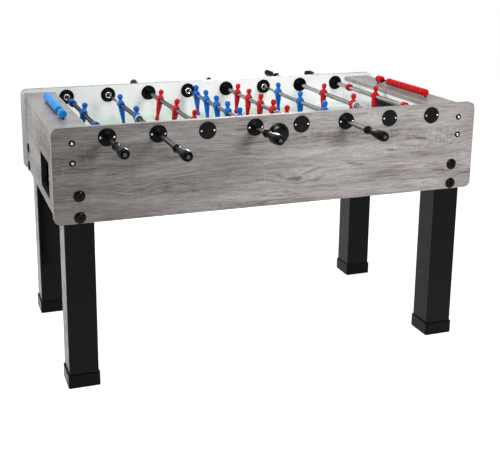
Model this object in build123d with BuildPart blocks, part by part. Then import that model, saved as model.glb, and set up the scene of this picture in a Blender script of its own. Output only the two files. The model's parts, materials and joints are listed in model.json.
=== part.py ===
"""Foosball table with eight telescopic rods, two scorers and four bolted legs.

X runs along the length, Y from the front side to the far side, Z up. The origin is on the floor under
the middle of the table. All sizes are in millimetres.
"""

import os

from build123d import *

os.makedirs("parts", exist_ok=True)

# Rod layout, which sets the length of the table
rod_count = 8
rod_pitch = 164.4  # from one rod to the next
goal_gap = 44.6  # from a goalie rod to the goal wall
rail_width = 115  # end rail, along X
end_inset = 15  # the end panels stand this far inside the ends of the side panels

# Cabinet
table_width = 780  # over both side panels
table_height = 880  # top edge of the side panels
panel_height = 310
panel_thickness = 18
panel_corner_radius = 22
liner_thickness = 1  # white sheet on the inner face of a side panel
end_thickness = 18
rail_drop = 14  # top of the rail below the top of the side panels
rail_thickness = 22
rail_edge_radius = 3
goal_wall_thickness = 12
goal_width = 210
goal_head = 25  # top edge of the goal mouth below the rod axis
goal_corner_radius = 8

# Playing field
rod_drop = 37  # rod axis below the top of the side panels
field_drop = 92  # top of the glass below the rod axis
glass_thickness = 5
board_thickness = 18
ramp_along = 150  # corner ramp along X
ramp_across = 115  # corner ramp along Y
ramp_height = 7
ramp_lip = 1  # height left at the ramp's long edge

# Ball return
return_width = 190
return_height = 124
return_shift = 110  # centre of the opening, from the middle of the end
return_bottom = 34  # lower edge of the opening above the bottom of the panel
return_corner_radius = 14
trough_wall = 3
trough_margin = 20  # trough past the opening and past the goal mouth
trough_fall = 40  # drop of the trough's floor along its run
trough_gap = 6  # between the trough and the goal wall

# Legs and feet
leg_size = 98
leg_wall = 4
leg_edge_radius = 4
leg_overlap = 125  # leg inside the cabinet, above the bottom of the side panels
foot_wall = 4
foot_height = 45
foot_floor = 6
foot_edge_radius = 6
foot_fit = 0.2  # gap between a leg and its foot cap
bolt_rises = (20, 90)  # leg bolts above the bottom of the side panels
bolt_radius = 5
bolt_head_radius = 19
bolt_head_height = 7
bolt_head_edge = 3
bolt_socket_radius = 4.5
bolt_socket_depth = 4
bolt_past_leg = 8  # end of the bolt past the leg's wall
hole_clearance = 0.2  # radial, around bolts, screws and bush sleeves

# Screws near the ends of the side panels
screw_inset = 64  # from the end of the side panel
screw_drops = (50, 113)  # below the top of the side panel
screw_radius = 3
screw_head_radius = 5.5
screw_head_height = 2.5
screw_length = 14
washer_radius = 10.5
washer_height = 3

# Rods
inner_rod_radius = 5
tube_radius = 8
running_clearance = 0.05  # radial, between parts that turn or slide on each other
inner_rod_reach = 220  # past the middle of the table, inside the tube
collar_radius = 12  # nut on the inner rod, at the far wall
collar_length = 8
collar_gap = 0.3
stroke_gap = 2  # left at the end of a rod's stroke
fit_clearance = 0.05  # snug fits: around the tube in men, stops and handles, under screw heads
tube_overhang = 4  # tube past the last man of a rod without stops

# Bushes, blind caps and flanges in the side panels
flange_radius = 29
flange_thickness = 5
inner_flange_thickness = 4
inner_flange_clearance = 1
flange_edge = 1.5
sleeve_radius = 14
nose_radius = 13
nose_length = 6
socket_floor = 3  # material left behind the end of the inner rod
flange_screw_offset = 22
flange_screw_radius = 2
flange_screw_head_radius = 3.6
flange_screw_head_height = 1.8
flange_screw_length = 14

# Handles
handle_length = 120
handle_collar_radius = 14
handle_collar_length = 9
handle_waist_radius = 10.5
handle_waist_at = 30
handle_swell_radius = 17
handle_swell_at = 98
handle_end_radius = 11
handle_bore_depth = 92
handle_nut_radius = 7
handle_nut_depth = 3

# Men, measured from the rod axis
head_radius = 10.5
head_centre = 30.5
neck_radius = 5.5
neck_bottom = 14
man_sections = (  # height, depth along X, width along Y, corner radius
    (17, 14, 22, 5),
    (8, 27, 32, 7),
    (-22, 20, 23, 6),
    (-58, 11.5, 14, 4),
    (-66, 14.5, 16, 3),
    (-80, 15.5, 17, 3),
)
man_hub_radius = 13
man_hub_length = 32

# Spacing of the men and reach of the handles, by row
goalie_count = 1
defence_count = 2
midfield_count = 5
attack_count = 3
men_count = {
    "goalie": goalie_count,
    "defence": defence_count,
    "midfield": midfield_count,
    "attack": attack_count,
}
men_pitch = {"goalie": 0, "defence": 253, "midfield": 124, "attack": 216}
handle_standoff = {"goalie": 0, "defence": 10, "midfield": 0, "attack": 10}
stop_spread = 218  # goalie stops, from the middle of the rod
stop_radius = 15
stop_length = 28
stop_slot = 9  # slit across a goalie stop
bumper_radius = 13
bumper_length = 14
bumper_gap = 0.2

# Scorers
bead_count = 10
bead_radius = 14.5
bead_length = 30.6
bead_gap = 0.4
bead_edge = 3
bead_clearance = 0.3
score_gap = 45  # free length left for one bead to slide
score_rod_radius = 3
score_rise = 17  # score rod above the rail
post_radius = 4  # pin of an end post
post_depth = 12  # pin in the rail
post_disc_radius = 14
post_length = 8  # disc of an end post, along the score rod

# Badges
badge_radius = 37
badge_drop = 65  # below the top of the side panel
badge_thickness = 4
badge_crown = 5
badge_crown_radius = 31

# The rods in order along X: name, row, handle side (-1 front, 1 rear), team direction, rest place along Y,
# and lean of the men at rest in degrees (feet towards -X)
rods = (
    ("blue_goalie", "goalie", -1, 1, 8, 10),
    ("blue_defence", "defence", -1, 1, 12, -7),
    ("red_attack", "attack", 1, -1, -22, 10),
    ("blue_midfield", "midfield", -1, 1, 3, -4),
    ("red_midfield", "midfield", 1, -1, -15, 4),
    ("blue_attack", "attack", -1, 1, -7, -1),
    ("red_defence", "defence", 1, -1, 8, 3),
    ("red_goalie", "goalie", 1, -1, 16, 5),
)

# Places worked out from the sizes above
end_rod_x = (rod_count - 1) / 2 * rod_pitch
rail_inner = end_rod_x + goal_gap
end_outer = rail_inner + rail_width
end_inner = end_outer - end_thickness
half_length = end_outer + end_inset
half_width = table_width / 2
panel_inner = half_width - panel_thickness
liner_inner = panel_inner - liner_thickness
panel_bottom = table_height - panel_height
rail_top = table_height - rail_drop
rail_bottom = rail_top - rail_thickness
rod_z = table_height - rod_drop
field_z = rod_z - field_drop
board_top = field_z - glass_thickness
board_bottom = board_top - board_thickness
leg_x = end_inner - leg_size / 2
leg_y = panel_inner - leg_size / 2
leg_top = panel_bottom + leg_overlap
wall_depth = panel_thickness + liner_thickness
score_x = (rail_inner + end_outer) / 2
score_z = rail_top + score_rise
bead_pitch = bead_length + bead_gap
score_half = (bead_count * bead_pitch + score_gap) / 2
post_y = score_half + post_length / 2
bolt_length = panel_thickness + leg_wall + bolt_past_leg


def side_plane(side, distance, x=0, z=0):
    """Plane facing out of the front (-1) or rear (1) side, at a distance from the middle."""
    return Plane(origin=(x, side * distance, z), x_dir=(-side, 0, 0), z_dir=(0, side, 0))


def end_plane(end, distance, y=0, z=0):
    """Plane facing out of the left (-1) or right (1) end, at a distance from the middle."""
    return Plane(origin=(end * distance, y, z), x_dir=(0, end, 0), z_dir=(end, 0, 0))


def save(builder, name):
    """Labels a finished piece and writes it."""
    builder.part.label = name
    export_step(builder.part, f"parts/{name}.step")


def rod_x(index):
    """Place of a rod along the table."""
    return (index - (rod_count - 1) / 2) * rod_pitch


def men_places(row):
    """Men along a rod, from its middle."""
    middle = (men_count[row] - 1) / 2
    return [(number - middle) * men_pitch[row] for number in range(men_count[row])]


def rod_extent(row):
    """Half the length of what stands on a rod."""
    if row == "goalie":
        return stop_spread + stop_length / 2
    last_man = men_places(row)[-1] + man_hub_length / 2
    if row == "defence":
        return last_man + bumper_gap + bumper_length
    return last_man + tube_overhang


def rod_travel(row):
    """Stroke of a rod to each side of the middle."""
    free = liner_inner - inner_flange_thickness - collar_gap - collar_length - stroke_gap
    return free - rod_extent(row)


def handle_start(row):
    """Inner end of the handle from the middle of the rod."""
    nose_end = half_width + flange_thickness + nose_length
    return nose_end + stroke_gap + rod_travel(row) + handle_standoff[row]


# Side panels: rounded boards with holes for bushes, caps, screws and leg bolts
panel_middle = panel_bottom + panel_height / 2
for side, side_name in ((-1, "front"), (1, "rear")):
    with BuildPart() as panel:
        with BuildSketch(side_plane(side, half_width, z=panel_middle)):
            RectangleRounded(2 * half_length, panel_height, panel_corner_radius)
        extrude(amount=-panel_thickness)
        with BuildSketch(side_plane(side, half_width)):
            with Locations(*[(-side * rod_x(index), rod_z) for index in range(rod_count)]):
                Circle(sleeve_radius + hole_clearance)
            for rise in bolt_rises:
                with Locations((-leg_x, panel_bottom + rise), (leg_x, panel_bottom + rise)):
                    Circle(bolt_radius + hole_clearance)
        extrude(amount=-panel_thickness, mode=Mode.SUBTRACT)
        with BuildSketch(side_plane(side, half_width)):
            for index in range(rod_count):
                for shift in (-flange_screw_offset, flange_screw_offset):
                    with Locations((-side * rod_x(index) + shift, rod_z)):
                        Circle(flange_screw_radius + hole_clearance)
        extrude(amount=flange_thickness - flange_screw_length - hole_clearance, mode=Mode.SUBTRACT)
        with BuildSketch(side_plane(side, half_width)):
            for drop in screw_drops:
                screw_x = half_length - screw_inset
                with Locations((-screw_x, table_height - drop), (screw_x, table_height - drop)):
                    Circle(screw_radius + hole_clearance)
        extrude(amount=washer_height - screw_length - hole_clearance, mode=Mode.SUBTRACT)
    save(panel, f"side_panel_{side_name}")

# White inner faces of the side panels
with BuildPart() as side_liners:
    for side in (-1, 1):
        with BuildSketch(side_plane(side, panel_inner, z=(board_bottom + table_height) / 2)):
            Rectangle(2 * rail_inner, table_height - board_bottom)
        extrude(amount=-liner_thickness)
        with BuildSketch(side_plane(side, panel_inner)):
            with Locations(*[(rod_x(index), rod_z) for index in range(rod_count)]):
                Circle(sleeve_radius + hole_clearance)
        extrude(amount=-liner_thickness, mode=Mode.SUBTRACT)
save(side_liners, "side_liners")

# End panels with their ball return openings
with BuildPart() as end_panels:
    for end in (-1, 1):
        with BuildSketch(end_plane(end, end_outer, z=(panel_bottom + rail_bottom) / 2)):
            Rectangle(2 * panel_inner, rail_bottom - panel_bottom)
        extrude(amount=-end_thickness)
        with BuildSketch(end_plane(end, end_outer)):
            with Locations((return_shift, panel_bottom + return_bottom + return_height / 2)):
                RectangleRounded(return_width, return_height, return_corner_radius)
            for rise in bolt_rises:
                with Locations((-leg_y, panel_bottom + rise), (leg_y, panel_bottom + rise)):
                    Circle(bolt_radius + hole_clearance)
        extrude(amount=-end_thickness, mode=Mode.SUBTRACT)
save(end_panels, "end_panels")

# End rails: boards over the end panels and goal walls, with holes for the score posts
with BuildPart() as end_rails:
    for end in (-1, 1):
        with BuildSketch(Plane.XY.offset(rail_bottom)):
            with Locations((end * score_x, 0)):
                Rectangle(rail_width, 2 * panel_inner)
        extrude(amount=rail_thickness)
    rail_edges = end_rails.edges().filter_by(Axis.Y).group_by(Axis.Z)[-1]
    fillet(rail_edges, rail_edge_radius)
    with BuildSketch(Plane.XY.offset(rail_top)):
        for end in (-1, 1):
            for y in (-post_y, post_y):
                with Locations((end * score_x, y)):
                    Circle(post_radius + hole_clearance)
    extrude(amount=-post_depth, mode=Mode.SUBTRACT)
save(end_rails, "end_rails")

# Goal walls with their mouths
with BuildPart() as goal_walls:
    mouth_height = field_drop - goal_head
    for end in (-1, 1):
        with BuildSketch(end_plane(end, rail_inner, z=(board_bottom + rail_bottom) / 2)):
            Rectangle(2 * panel_inner, rail_bottom - board_bottom)
        extrude(amount=goal_wall_thickness)
        with BuildSketch(end_plane(end, rail_inner)):
            with Locations((0, field_z + mouth_height / 2)):
                RectangleRounded(goal_width, mouth_height, goal_corner_radius)
        extrude(amount=goal_wall_thickness, mode=Mode.SUBTRACT)
save(goal_walls, "goal_walls")

# Playing field
with BuildPart() as playfield_board:
    with BuildSketch(Plane.XY.offset(board_bottom)):
        Rectangle(2 * rail_inner, 2 * liner_inner)
    extrude(amount=board_thickness)
save(playfield_board, "playfield_board")

with BuildPart() as playfield_glass:
    with BuildSketch(Plane.XY.offset(board_top)):
        Rectangle(2 * rail_inner, 2 * liner_inner)
    extrude(amount=glass_thickness)
save(playfield_glass, "playfield_glass")

# Corner ramps: wedges that rise from their long edge to the corner of the field
with BuildPart() as corner_ramps:
    for end in (-1, 1):
        for side in (-1, 1):
            corner = (end * rail_inner, side * liner_inner)
            along = (end * (rail_inner - ramp_along), side * liner_inner)
            across = (end * rail_inner, side * (liner_inner - ramp_across))
            with BuildSketch(Plane.XY.offset(field_z)):
                with BuildLine():
                    Polyline(corner, along, across, close=True)
                make_face()
            extrude(amount=ramp_height)
            lip_z = field_z + ramp_lip
            rise = Vector(*corner, field_z + ramp_height) - Vector(*along, lip_z)
            edge = Vector(*across, lip_z) - Vector(*along, lip_z)
            slope = rise.cross(edge)
            if slope.Z < 0:
                slope = -slope
            with BuildSketch(Plane(origin=(*along, lip_z), x_dir=edge, z_dir=slope)):
                Rectangle(4 * ramp_along, 4 * ramp_along)
            extrude(amount=2 * ramp_height, mode=Mode.SUBTRACT)
save(corner_ramps, "corner_ramps")

# Ball troughs behind the goal walls: open-topped channels that fall towards the return opening
trough_inner = rail_inner + goal_wall_thickness + trough_gap
trough_low = return_shift + return_width / 2 + trough_margin
trough_high = -goal_width / 2 - trough_margin
trough_base = panel_bottom + return_bottom - trough_wall
trough_top = board_bottom
with BuildPart() as ball_troughs:
    for end in (-1, 1):
        trough_middle = (trough_low + trough_high) / 2
        with BuildSketch(end_plane(end, trough_inner, z=(trough_base + trough_top) / 2)):
            with Locations((trough_middle, 0)):
                Rectangle(trough_low - trough_high, trough_top - trough_base)
        extrude(amount=end_inner - trough_inner)
        floor_z = trough_base + trough_wall
        with BuildSketch(end_plane(end, trough_inner + trough_wall)):
            with BuildLine():
                Polyline(
                    (trough_low - trough_wall, trough_top),
                    (trough_low - trough_wall, floor_z),
                    (return_shift - return_width / 2, floor_z),
                    (trough_high + trough_wall, floor_z + trough_fall),
                    (trough_high + trough_wall, trough_top),
                    close=True,
                )
            make_face()
        extrude(amount=end_inner - trough_inner - trough_wall, mode=Mode.SUBTRACT)
save(ball_troughs, "ball_troughs")

# Legs: square tubes bolted into the corners of the cabinet
leg_places = [(end * leg_x, side * leg_y) for end in (-1, 1) for side in (-1, 1)]
with BuildPart() as legs:
    with BuildSketch(Plane.XY.offset(foot_floor)):
        with Locations(*leg_places):
            RectangleRounded(leg_size, leg_size, leg_edge_radius)
            Rectangle(leg_size - 2 * leg_wall, leg_size - 2 * leg_wall, mode=Mode.SUBTRACT)
    extrude(amount=leg_top - foot_floor)
    for side in (-1, 1):
        with BuildSketch(side_plane(side, panel_inner)):
            for rise in bolt_rises:
                with Locations((-leg_x, panel_bottom + rise), (leg_x, panel_bottom + rise)):
                    Circle(bolt_radius + hole_clearance)
        extrude(amount=-leg_wall, mode=Mode.SUBTRACT)
        with BuildSketch(end_plane(side, end_inner)):
            for rise in bolt_rises:
                with Locations((-leg_y, panel_bottom + rise), (leg_y, panel_bottom + rise)):
                    Circle(bolt_radius + hole_clearance)
        extrude(amount=-leg_wall, mode=Mode.SUBTRACT)
save(legs, "legs")

# Foot caps
with BuildPart() as feet:
    foot_pocket = leg_size + 2 * foot_fit
    foot_size = foot_pocket + 2 * foot_wall
    with BuildSketch():
        with Locations(*leg_places):
            RectangleRounded(foot_size, foot_size, foot_edge_radius)
    extrude(amount=foot_height)
    with BuildSketch(Plane.XY.offset(foot_floor)):
        with Locations(*leg_places):
            Rectangle(foot_pocket, foot_pocket)
    extrude(amount=foot_height - foot_floor, mode=Mode.SUBTRACT)
save(feet, "feet")

# Leg bolts: wide domed heads with a hexagon socket
with BuildPart() as bolt:
    Cylinder(bolt_head_radius, bolt_head_height, align=(Align.CENTER, Align.CENTER, Align.MIN))
    fillet(bolt.edges().sort_by(Axis.Z)[-1], bolt_head_edge)
    with BuildSketch(Plane.XY.offset(bolt_head_height)):
        RegularPolygon(bolt_socket_radius, 6)
    extrude(amount=-bolt_socket_depth, mode=Mode.SUBTRACT)
    with BuildSketch():
        Circle(bolt_radius)
    extrude(amount=-bolt_length)

with BuildPart() as leg_bolts:
    for side in (-1, 1):
        for place in (-1, 1):
            for rise in bolt_rises:
                height = panel_bottom + rise
                with Locations(side_plane(side, half_width, x=place * leg_x, z=height).location):
                    add(bolt.part)
                with Locations(end_plane(side, end_outer, y=place * leg_y, z=height).location):
                    add(bolt.part)
save(leg_bolts, "leg_bolts")

# Panel screws: a round head in a cup washer
with BuildPart() as washer:
    Cone(washer_radius, screw_head_radius, washer_height, align=(Align.CENTER, Align.CENTER, Align.MIN))
    Hole(screw_radius + hole_clearance)

with BuildPart() as screw:
    seat = washer_height + fit_clearance
    with BuildSketch(Plane.XY.offset(seat)):
        Circle(screw_head_radius)
    extrude(amount=screw_head_height)
    fillet(screw.edges().sort_by(Axis.Z)[-1], screw_head_height / 2)
    with BuildSketch(Plane.XY.offset(seat)):
        Circle(screw_radius)
    extrude(amount=-screw_length)

with BuildPart() as panel_screws:
    for side in (-1, 1):
        for end in (-1, 1):
            for drop in screw_drops:
                screw_x = end * (half_length - screw_inset)
                spot = side_plane(side, half_width, x=screw_x, z=table_height - drop)
                with Locations(spot.location):
                    add(washer.part)
                    add(screw.part)
save(panel_screws, "panel_screws")

# Rod bushes: a flange and nose outside, a sleeve through the wall, bored for the sliding tube
with BuildPart() as bush:
    with BuildSketch():
        Circle(flange_radius)
    extrude(amount=flange_thickness)
    fillet(bush.edges().sort_by(Axis.Z)[-1], flange_edge)
    with BuildSketch(Plane.XY.offset(flange_thickness)):
        Circle(nose_radius)
    extrude(amount=nose_length)
    fillet(bush.edges().sort_by(Axis.Z)[-1], flange_edge)
    with BuildSketch():
        Circle(sleeve_radius)
    extrude(amount=-wall_depth)
    Hole(tube_radius + running_clearance)
    with Locations((-flange_screw_offset, 0), (flange_screw_offset, 0)):
        Hole(flange_screw_radius + hole_clearance)

# Blind caps: a closed disc outside, a sleeve through the wall with a socket for the inner rod
socket_depth = flange_thickness + wall_depth - socket_floor
with BuildPart() as cap:
    with BuildSketch():
        Circle(flange_radius)
    extrude(amount=flange_thickness)
    fillet(cap.edges().sort_by(Axis.Z)[-1], flange_edge)
    with BuildSketch():
        Circle(sleeve_radius)
    extrude(amount=-wall_depth)
    with BuildSketch(Plane.XY.offset(-wall_depth)):
        Circle(inner_rod_radius + running_clearance)
    extrude(amount=socket_depth, mode=Mode.SUBTRACT)
    with Locations((-flange_screw_offset, 0), (flange_screw_offset, 0)):
        Hole(flange_screw_radius + hole_clearance)

# Inner flanges, on the inside of both walls
with BuildPart() as inner_flange:
    with BuildSketch():
        Circle(flange_radius)
        Circle(tube_radius + inner_flange_clearance, mode=Mode.SUBTRACT)
    extrude(amount=inner_flange_thickness)
    fillet(inner_flange.edges().group_by(Axis.Z)[-1].sort_by(SortBy.RADIUS)[-1], flange_edge)

# Small screws through the outer flanges
with BuildPart() as flange_screw:
    with BuildSketch(Plane.XY.offset(flange_thickness)):
        Circle(flange_screw_head_radius)
    extrude(amount=flange_screw_head_height)
    fillet(flange_screw.edges().sort_by(Axis.Z)[-1], flange_screw_head_height / 2)
    with BuildSketch(Plane.XY.offset(flange_thickness)):
        Circle(flange_screw_radius)
    extrude(amount=-flange_screw_length)

with BuildPart() as rod_bushes:
    for index, (_, _, side, _, _, _) in enumerate(rods):
        with Locations(side_plane(side, half_width, x=rod_x(index), z=rod_z).location):
            add(bush.part)
save(rod_bushes, "rod_bushes")

with BuildPart() as blind_caps:
    for index, (_, _, side, _, _, _) in enumerate(rods):
        with Locations(side_plane(-side, half_width, x=rod_x(index), z=rod_z).location):
            add(cap.part)
save(blind_caps, "blind_caps")

with BuildPart() as inner_flanges:
    for index in range(rod_count):
        for side in (-1, 1):
            with Locations(side_plane(-side, -liner_inner, x=rod_x(index), z=rod_z).location):
                add(inner_flange.part)
save(inner_flanges, "inner_flanges")

with BuildPart() as flange_screws:
    for index in range(rod_count):
        for side in (-1, 1):
            for shift in (-flange_screw_offset, flange_screw_offset):
                spot = side_plane(side, half_width, x=rod_x(index) + shift, z=rod_z)
                with Locations(spot.location):
                    add(flange_screw.part)
save(flange_screws, "flange_screws")

# Badges: bare domed discs in the middle of the long sides
with BuildPart() as badge:
    with BuildSketch():
        Circle(badge_radius)
    extrude(amount=badge_thickness)
    fillet(badge.edges().sort_by(Axis.Z)[-1], badge_thickness / 2)
    with BuildSketch(Plane.XZ):
        with BuildLine():
            Line((0, 0), (badge_crown_radius, 0))
            Line((badge_crown_radius, 0), (badge_crown_radius, badge_thickness))
            Spline(
                (badge_crown_radius, badge_thickness),
                (0, badge_thickness + badge_crown),
                tangents=((-1, 1), (-1, 0)),
            )
            Line((0, badge_thickness + badge_crown), (0, 0))
        make_face()
    revolve(axis=Axis.Z)

with BuildPart() as badges:
    for side in (-1, 1):
        with Locations(side_plane(side, half_width, z=table_height - badge_drop).location):
            add(badge.part)
save(badges, "badges")

# One man, with his middle on the rod axis, facing +X
with BuildPart() as man:
    for height, depth, width, corner in man_sections:
        with BuildSketch(Plane.XY.offset(height)):
            RectangleRounded(depth, width, corner)
    loft(ruled=True)
    with BuildSketch(Plane.XY.offset(neck_bottom)):
        Circle(neck_radius)
    extrude(amount=head_centre - neck_bottom)
    with Locations((0, 0, head_centre)):
        Sphere(head_radius)
    with BuildSketch(Plane.XZ.offset(-man_hub_length / 2)):
        Circle(man_hub_radius)
    extrude(amount=man_hub_length)
    with BuildSketch(Plane.XZ.offset(-man_hub_length / 2)):
        Circle(tube_radius + fit_clearance)
    extrude(amount=man_hub_length, mode=Mode.SUBTRACT)

# One handle, from its collar at the rod to its rounded end
with BuildPart() as handle:
    bore_radius = tube_radius + fit_clearance
    with BuildSketch(Plane.XZ):
        with BuildLine():
            Polyline(
                (bore_radius, 0),
                (handle_collar_radius, 0),
                (handle_collar_radius, handle_collar_length),
            )
            Spline(
                (handle_collar_radius, handle_collar_length),
                (handle_waist_radius, handle_waist_at),
                (handle_swell_radius, handle_swell_at),
                (handle_end_radius, handle_length),
            )
            Polyline(
                (handle_end_radius, handle_length),
                (handle_nut_radius, handle_length),
                (handle_nut_radius, handle_length - handle_nut_depth),
                (0, handle_length - handle_nut_depth),
                (0, handle_bore_depth),
                (bore_radius, handle_bore_depth),
                (bore_radius, 0),
            )
        make_face()
    revolve(axis=Axis.Z)

# One goalie stop: a collar with a slit across its outer end
with BuildPart() as stop:
    with BuildSketch():
        Circle(stop_radius)
        Circle(tube_radius + fit_clearance, mode=Mode.SUBTRACT)
    extrude(amount=stop_length / 2, both=True)
    with BuildSketch(Plane.XY):
        Rectangle(stop_slot, 2 * stop_radius)
    extrude(amount=stop_length / 2, mode=Mode.SUBTRACT)

# One rubber bumper of the defence rods
with BuildPart() as bumper:
    with BuildSketch():
        Circle(bumper_radius)
        Circle(tube_radius + fit_clearance, mode=Mode.SUBTRACT)
    extrude(amount=bumper_length / 2, both=True)

# The rods: inner rod, sliding tube, men, handle and stops
for index, (name, row, side, facing, rest, lean) in enumerate(rods):
    x = rod_x(index)
    middle = side * rest

    socket_end = half_width + flange_thickness - socket_floor - collar_gap
    with BuildPart() as inner_rod:
        with BuildSketch(side_plane(side, -socket_end, x=x, z=rod_z)):
            Circle(inner_rod_radius)
        extrude(amount=socket_end + inner_rod_reach)
        collar_end = liner_inner - inner_flange_thickness - collar_gap
        with BuildSketch(side_plane(side, -collar_end, x=x, z=rod_z)):
            Circle(collar_radius)
        extrude(amount=collar_length)
    save(inner_rod, f"{name}_inner_rod")

    tube_start = middle - rod_extent(row)
    tube_end = middle + handle_start(row) + handle_bore_depth
    with BuildPart() as tube:
        with BuildSketch(side_plane(side, tube_start, x=x, z=rod_z)):
            Circle(tube_radius)
            Circle(inner_rod_radius + running_clearance, mode=Mode.SUBTRACT)
        extrude(amount=tube_end - tube_start)
    save(tube, f"{name}_tube")

    with BuildPart() as handle_copy:
        with Locations(side_plane(side, middle + handle_start(row), x=x, z=rod_z).location):
            add(handle.part)
    save(handle_copy, f"{name}_handle")

    with BuildPart() as men:
        turn = 0 if facing > 0 else 180
        for place in men_places(row):
            with Locations(Location((x, rest + place, rod_z), (0, lean, turn))):
                add(man.part)
    save(men, f"{name}_men")

    if row == "goalie":
        with BuildPart() as stops:
            for direction in (-1, 1):
                spot = side_plane(-direction, -direction * rest - stop_spread, x=x, z=rod_z)
                with Locations(spot.location):
                    add(stop.part)
        save(stops, f"{name}_stops")

    if row == "defence":
        bumper_place = rod_extent(row) - bumper_length / 2
        with BuildPart() as bumpers:
            for direction in (-1, 1):
                spot = side_plane(direction, direction * rest + bumper_place, x=x, z=rod_z)
                with Locations(spot.location):
                    add(bumper.part)
        save(bumpers, f"{name}_bumpers")

# Scorers: a rod over each end rail, between two end posts with round heads
with BuildPart() as score_rods:
    for end in (-1, 1):
        with BuildSketch(side_plane(1, -score_half, x=end * score_x, z=score_z)):
            Circle(score_rod_radius)
        extrude(amount=2 * score_half)
        for side in (-1, 1):
            with BuildSketch(side_plane(side, score_half, x=end * score_x, z=score_z)):
                Circle(post_disc_radius)
            extrude(amount=post_length)
            with BuildSketch(Plane.XY.offset(rail_top - post_depth)):
                with Locations((end * score_x, side * post_y)):
                    Circle(post_radius)
            extrude(amount=post_depth + score_rise)
save(score_rods, "score_rods")

# One score bead
with BuildPart() as bead:
    with BuildSketch(Plane.XZ):
        with BuildLine():
            bead_bore = score_rod_radius + bead_clearance
            Polyline(
                (bead_bore, -bead_length / 2),
                (bead_radius - bead_edge, -bead_length / 2),
                (bead_radius, bead_edge - bead_length / 2),
                (bead_radius, bead_length / 2 - bead_edge),
                (bead_radius - bead_edge, bead_length / 2),
                (bead_bore, bead_length / 2),
                close=True,
            )
        make_face()
    revolve(axis=Axis.Z)

# The beads: one set apart at the near end of the left scorer and the far end of the right one
for end, team in ((-1, "blue"), (1, "red")):
    lone_y = end * (score_half - bead_pitch / 2)
    with BuildPart() as lone_bead:
        with Locations(side_plane(1, lone_y, x=end * score_x, z=score_z).location):
            add(bead.part)
    save(lone_bead, f"{team}_score_bead")

    with BuildPart() as bead_pack:
        for number in range(bead_count - 1):
            bead_y = -end * (score_half - bead_pitch / 2 - number * bead_pitch)
            with Locations(side_plane(1, bead_y, x=end * score_x, z=score_z).location):
                add(bead.part)
    save(bead_pack, f"{team}_score_pack")
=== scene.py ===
"""Looks of the foosball table: materials, moulded and turned pieces, floor, light and camera.

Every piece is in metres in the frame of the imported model. X runs along the table, Y from the front side
to the far side, Z up. Profiles of turned shapes are pairs of radius and height in mm.
"""

import json
import math

import bmesh
import bpy
from mathutils import Euler, Matrix, Vector


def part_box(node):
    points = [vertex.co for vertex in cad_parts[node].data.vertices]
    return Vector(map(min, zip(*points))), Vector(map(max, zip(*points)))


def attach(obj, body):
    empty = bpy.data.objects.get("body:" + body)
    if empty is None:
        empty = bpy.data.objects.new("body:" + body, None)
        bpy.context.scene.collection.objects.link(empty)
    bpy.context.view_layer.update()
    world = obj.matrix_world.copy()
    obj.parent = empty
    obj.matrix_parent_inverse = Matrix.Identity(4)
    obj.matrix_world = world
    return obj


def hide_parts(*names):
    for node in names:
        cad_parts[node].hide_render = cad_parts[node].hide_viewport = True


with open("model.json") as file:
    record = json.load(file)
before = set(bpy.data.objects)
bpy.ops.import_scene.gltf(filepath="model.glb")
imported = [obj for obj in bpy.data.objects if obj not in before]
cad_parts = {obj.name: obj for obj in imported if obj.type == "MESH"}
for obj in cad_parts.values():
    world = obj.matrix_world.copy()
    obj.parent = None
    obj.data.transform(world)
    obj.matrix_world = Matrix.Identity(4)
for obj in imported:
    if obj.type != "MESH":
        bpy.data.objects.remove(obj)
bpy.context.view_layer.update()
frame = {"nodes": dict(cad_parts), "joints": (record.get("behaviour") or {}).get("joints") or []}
nodes = frame["nodes"]
MM = 0.001

# The rods and walls, read from the frame
spin_suffix = "_spin"
rod_axes = {
    joint["name"][: -len(spin_suffix)]: Vector(joint["pos_m"])
    for joint in frame["joints"]
    if joint["name"].endswith(spin_suffix)
}
handle_side = {rod: 1 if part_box(f"{rod}_handle")[0].y > 0 else -1 for rod in rod_axes}
panel_low, panel_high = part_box("side_panel_front")
half_width = -panel_low.y
panel_inner = -panel_high.y
liner_thickness = 1 * MM  # as in the CAD
liner_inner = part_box("side_liners")[1].y - liner_thickness

# The men: how many on a rod, and their lean at rest in degrees, feet towards -X
men_in_row = {"goalie": 1, "defence": 2, "midfield": 5, "attack": 3}
men_lean = {
    "blue_goalie": 10, "blue_defence": -7, "red_attack": 10, "blue_midfield": -4, "red_midfield": 4,
    "blue_attack": -1, "red_defence": 3, "red_goalie": 5,
}

# Sizes that several pieces share, in mm
tube_bore = 8.1  # radius inside what sits on a rod's tube
rod_radius = 5  # inner rod
rod_bore = 5.1  # radius inside what sits on an inner rod
disc_radius = 29  # flanges and caps of the rods
spigot_radius = 14  # part of a bush or cap that goes through the wall
spigot_end = -19  # its inner end, from the wall's outer face

# Camera, fitted to the photograph
image_width = 500
image_height = 449
camera_at = (-1.128, -3.082, 1.449)
camera_yaw = 17.96  # degrees to the right of +Y
camera_pitch = 13.33  # degrees below the horizon
camera_focus = 899.7  # focal length in pixels
camera_centre = (205, 150)  # pixel that the optical axis meets
sensor_width = 36

# Meshes
join_distance = 0.001 * MM  # points that are nearer than this are one point
sharp_angle = math.radians(35)  # edges that turn more than this stay sharp


def solids(node):
    """Lowest and highest corners of the separate solids of a CAD node, from the +X end of the table."""
    work = bmesh.new()
    work.from_mesh(nodes[node].data)
    bmesh.ops.remove_doubles(work, verts=work.verts, dist=join_distance)
    left = set(work.verts)
    found = []
    while left:
        island = [left.pop()]
        for vertex in island:
            for edge in vertex.link_edges:
                other = edge.other_vert(vertex)
                if other in left:
                    left.remove(other)
                    island.append(other)
        low = Vector(min(vertex.co[axis] for vertex in island) for axis in range(3))
        high = Vector(max(vertex.co[axis] for vertex in island) for axis in range(3))
        found.append((low, high))
    work.free()
    return sorted(found, key=lambda corners: tuple(corners[0]), reverse=True)


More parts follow.
